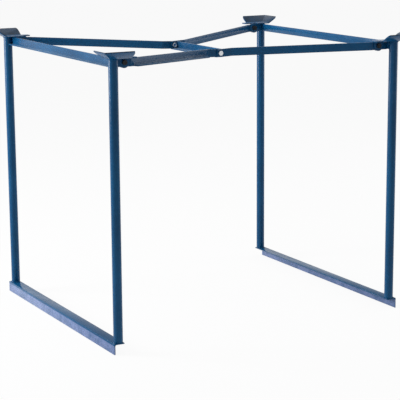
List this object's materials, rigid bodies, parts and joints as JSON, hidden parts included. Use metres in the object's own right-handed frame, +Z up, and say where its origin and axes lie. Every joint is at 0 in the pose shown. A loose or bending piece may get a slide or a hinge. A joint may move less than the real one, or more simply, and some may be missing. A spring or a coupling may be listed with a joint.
{
  "type": "pallet stacking frame",
  "caption": "Folding steel frame that stands on a pallet: two side frames of tube posts and angle rails, joined near the top by folding arms, with flared stacking corners.",
  "frame": {"origin": "on the plane of the hanging flanges' lower edges, under the middle of the frame", "axes": "+X along the pallet's 1200 mm side, from the left side frame to the right one; +Y from the front to the rear; +Z up along the posts"},
  "size_m": [1.2798, 1.0798, 1.0673],
  "materials": {
    "paint": "glossy blue paint",
    "zinc": "bright zinc plate",
    "black": "black coated steel"
  },
  "bodies": {
    "left_frame": {"left_base_angle": "paint", "left_front_pivot_bolt": "black", "left_front_pivot_bracket": "paint", "left_front_pivot_nut": "black", "left_front_pivot_washer": "black", "left_front_post": "paint", "left_front_stacking_corner": "paint", "left_rear_pivot_bolt": "black", "left_rear_pivot_bracket": "paint", "left_rear_pivot_nut": "black", "left_rear_pivot_washer": "black", "left_rear_post": "paint", "left_rear_stacking_corner": "paint", "left_top_rail": "paint"},
    "arm_rear_left": {"arm_rear_left": "paint"},
    "arm_front_left": {"arm_front_left": "paint"},
    "centre_bar": {"centre_bar": "paint", "centre_front_bolt": "zinc", "centre_front_nut": "zinc", "centre_front_washer": "zinc", "centre_rear_bolt": "zinc", "centre_rear_nut": "zinc", "centre_rear_washer": "zinc"},
    "arm_rear_right": {"arm_rear_right": "paint"},
    "arm_front_right": {"arm_front_right": "paint"},
    "right_frame": {"right_base_angle": "paint", "right_front_pivot_bolt": "black", "right_front_pivot_bracket": "paint", "right_front_pivot_nut": "black", "right_front_pivot_washer": "black", "right_front_post": "paint", "right_front_stacking_corner": "paint", "right_rear_pivot_bolt": "black", "right_rear_pivot_bracket": "paint", "right_rear_pivot_nut": "black", "right_rear_pivot_washer": "black", "right_rear_post": "paint", "right_rear_stacking_corner": "paint", "right_top_rail": "paint"}
  },
  "joints": [
    {"name": "fold", "type": "hinge", "parent": "centre_bar", "child": "arm_front_right", "pos_m": [0, -0.187, 1.00007], "axis": [0, 1, 0], "range_deg": [0, 75]},
    {"name": "rear_left_pivot", "type": "hinge", "parent": "left_frame", "child": "arm_rear_left", "pos_m": [-0.53, 0.455, 1.02207], "axis": [0, -1, 0], "range_deg": [0, 75]},
    {"name": "front_left_pivot", "type": "hinge", "parent": "left_frame", "child": "arm_front_left", "pos_m": [-0.53, -0.455, 1.02207], "axis": [0, -1, 0], "range_deg": [0, 75]},
    {"name": "centre_pivot_left", "type": "hinge", "parent": "arm_rear_left", "child": "centre_bar", "pos_m": [0, 0.187, 1.00007], "axis": [0, 1, 0], "range_deg": [0, 75]},
    {"name": "centre_pivot_right", "type": "hinge", "parent": "centre_bar", "child": "arm_rear_right", "pos_m": [0, 0.187, 1.00007], "axis": [0, 1, 0], "range_deg": [0, 75]},
    {"name": "right_frame_pivot", "type": "hinge", "parent": "arm_rear_right", "child": "right_frame", "pos_m": [0.53, 0.455, 1.02207], "axis": [0, -1, 0], "range_deg": [0, 75]}
  ],
  "couplings": [
    {"joint": "rear_left_pivot", "follows": "fold", "ratio": 1},
    {"joint": "front_left_pivot", "follows": "fold", "ratio": 1},
    {"joint": "centre_pivot_left", "follows": "fold", "ratio": 1},
    {"joint": "centre_pivot_right", "follows": "fold", "ratio": 1},
    {"joint": "right_frame_pivot", "follows": "fold", "ratio": 1}
  ]
}
